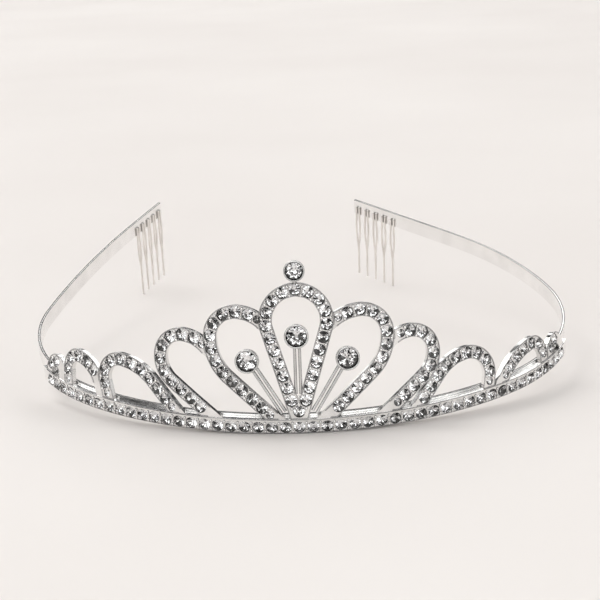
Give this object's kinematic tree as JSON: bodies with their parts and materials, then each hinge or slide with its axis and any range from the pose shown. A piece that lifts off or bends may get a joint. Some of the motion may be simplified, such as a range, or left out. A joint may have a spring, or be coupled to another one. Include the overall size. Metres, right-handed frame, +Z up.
{
  "type": "bridal tiara",
  "caption": "Bridal tiara: open metal headband with a stone-set crown of leaf loops, bezel stones on wire stems and a wire comb at each end.",
  "frame": {"origin": "on the surface the tiara stands on, under the middle of its box", "axes": "+Z up, the crown's front faces -Y, +X to the right seen from the front"},
  "size_m": [0.1462, 0.1518, 0.043],
  "materials": {
    "polished_metal": "bright rhodium-style plating, cast and polished",
    "band_metal": "bright plated flat strip with fine drawing lines",
    "comb_wire": "drawn wire, pale warm silver plating",
    "crystal": "clear round-cut rhinestone, foil-backed, high contrast facets"
  },
  "bodies": {
    "root": {"base_rail": "polished_metal", "base_row_stones": "crystal", "centre_bezel": "polished_metal", "centre_loop": "polished_metal", "centre_loop_stones": "crystal", "centre_stem": "polished_metal", "centre_stone": "crystal", "headband_strip": "band_metal", "left_bezel": "polished_metal", "left_comb_tooth_1": "comb_wire", "left_comb_tooth_2": "comb_wire", "left_comb_tooth_3": "comb_wire", "left_comb_tooth_4": "comb_wire", "left_comb_tooth_5": "comb_wire", "left_loop_1": "polished_metal", "left_loop_1_stones": "crystal", "left_loop_2": "polished_metal", "left_loop_2_stones": "crystal", "left_loop_3": "polished_metal", "left_loop_3_stones": "crystal", "left_loop_4": "polished_metal", "left_loop_4_stones": "crystal", "left_loop_5": "polished_metal", "left_loop_5_stones": "crystal", "left_stem": "polished_metal", "left_stone": "crystal", "right_bezel": "polished_metal", "right_comb_tooth_1": "comb_wire", "right_comb_tooth_2": "comb_wire", "right_comb_tooth_3": "comb_wire", "right_comb_tooth_4": "comb_wire", "right_comb_tooth_5": "comb_wire", "right_loop_1": "polished_metal", "right_loop_1_stones": "crystal", "right_loop_2": "polished_metal", "right_loop_2_stones": "crystal", "right_loop_3": "polished_metal", "right_loop_3_stones": "crystal", "right_loop_4": "polished_metal", "right_loop_4_stones": "crystal", "right_loop_5": "polished_metal", "right_loop_5_stones": "crystal", "right_stem": "polished_metal", "right_stone": "crystal", "top_bezel": "polished_metal", "top_stone": "crystal"}
  },
  "joints": []
}
